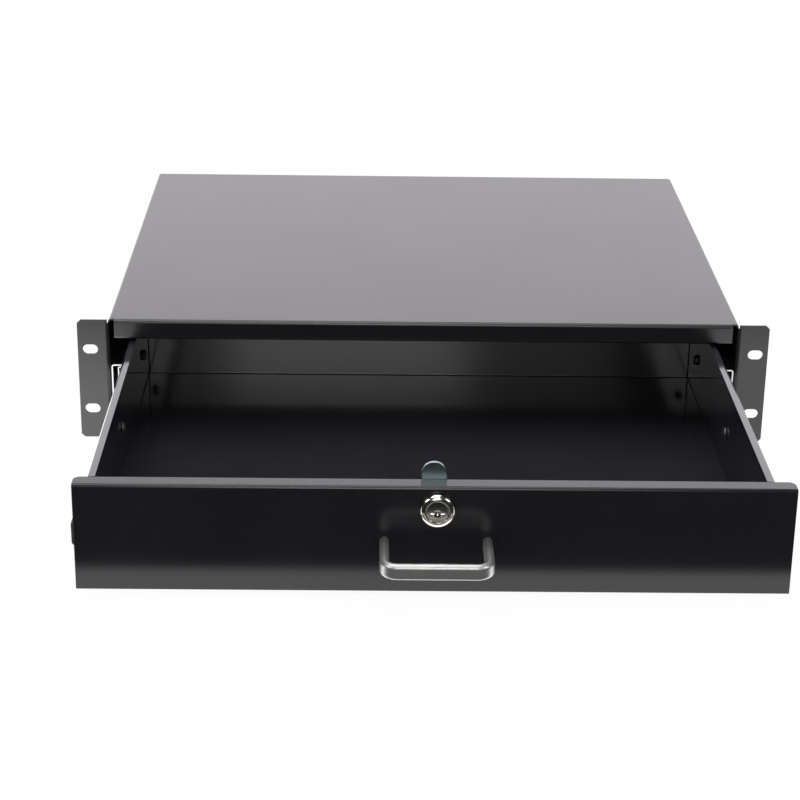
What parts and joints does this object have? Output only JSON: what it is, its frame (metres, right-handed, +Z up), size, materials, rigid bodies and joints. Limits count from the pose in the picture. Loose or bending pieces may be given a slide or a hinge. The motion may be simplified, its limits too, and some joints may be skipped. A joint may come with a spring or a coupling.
{
  "type": "sliding rack drawer",
  "caption": "Lockable equipment drawer on ball slides in a folded steel case with slotted rack ears, shown pulled open.",
  "frame": {"origin": "centre of the rectangle of rack slots, on the front face of the ears, at half the rack height", "axes": "+X to the right of someone facing the front panel, +Y from the front panel towards the back of the case, +Z up"},
  "size_m": [0.4826, 0.6476, 0.088],
  "materials": {
    "black_powder_coat": "fine-textured semi-gloss black powder coat",
    "zinc_plated_steel": "bright zinc plate",
    "zinc_passivated_steel": "passivated zinc plate with a faint green tint",
    "bearing_steel": "polished",
    "polished_chrome": "polished chrome",
    "satin_chrome": "satin chrome",
    "black_plastic": "moulded matt black",
    "black_rubber": "matt"
  },
  "bodies": {
    "case": {"case_shell": "black_powder_coat", "bottom_pan": "black_powder_coat", "rear_panel": "black_powder_coat", "case_rivets": "zinc_plated_steel", "slide_outer_left": "zinc_plated_steel", "slide_outer_right": "zinc_plated_steel", "case_slide_screws": "zinc_plated_steel", "closing_buffer_left": "black_rubber", "closing_buffer_right": "black_rubber"},
    "cage_left": {"ball_cage_left": "zinc_plated_steel", "slide_balls_left": "bearing_steel"},
    "cage_right": {"ball_cage_right": "zinc_plated_steel", "slide_balls_right": "bearing_steel"},
    "drawer": {"drawer_tray": "black_powder_coat", "front_panel": "black_powder_coat", "panel_studs": "zinc_plated_steel", "panel_nuts": "zinc_plated_steel", "handle": "satin_chrome", "handle_screws": "zinc_plated_steel", "lock_housing": "polished_chrome", "lock_nut": "zinc_passivated_steel", "slide_inner_left": "zinc_plated_steel", "slide_inner_right": "zinc_plated_steel", "tray_slide_screws": "zinc_plated_steel", "slide_bumper_left": "black_plastic", "slide_bumper_right": "black_plastic"},
    "lock": {"lock_plug": "polished_chrome", "lock_cam": "zinc_passivated_steel", "cam_nut": "zinc_passivated_steel"}
  },
  "joints": [
    {"name": "drawer_slide", "type": "slide", "parent": "case", "child": "drawer", "axis": [0, 1, 0], "range_m": [0, 0.24]},
    {"name": "cage_left_slide", "type": "slide", "parent": "case", "child": "cage_left", "axis": [0, 1, 0], "range_m": [0, 0.12]},
    {"name": "cage_right_slide", "type": "slide", "parent": "case", "child": "cage_right", "axis": [0, 1, 0], "range_m": [0, 0.12]},
    {"name": "lock_turn", "type": "hinge", "parent": "drawer", "child": "lock", "pos_m": [0.0033, -0.24, 0.0134], "axis": [0, 1, 0], "range_deg": [0, 90]}
  ],
  "couplings": [
    {"joint": "cage_left_slide", "follows": "drawer_slide", "ratio": 0.5},
    {"joint": "cage_right_slide", "follows": "drawer_slide", "ratio": 0.5}
  ]
}
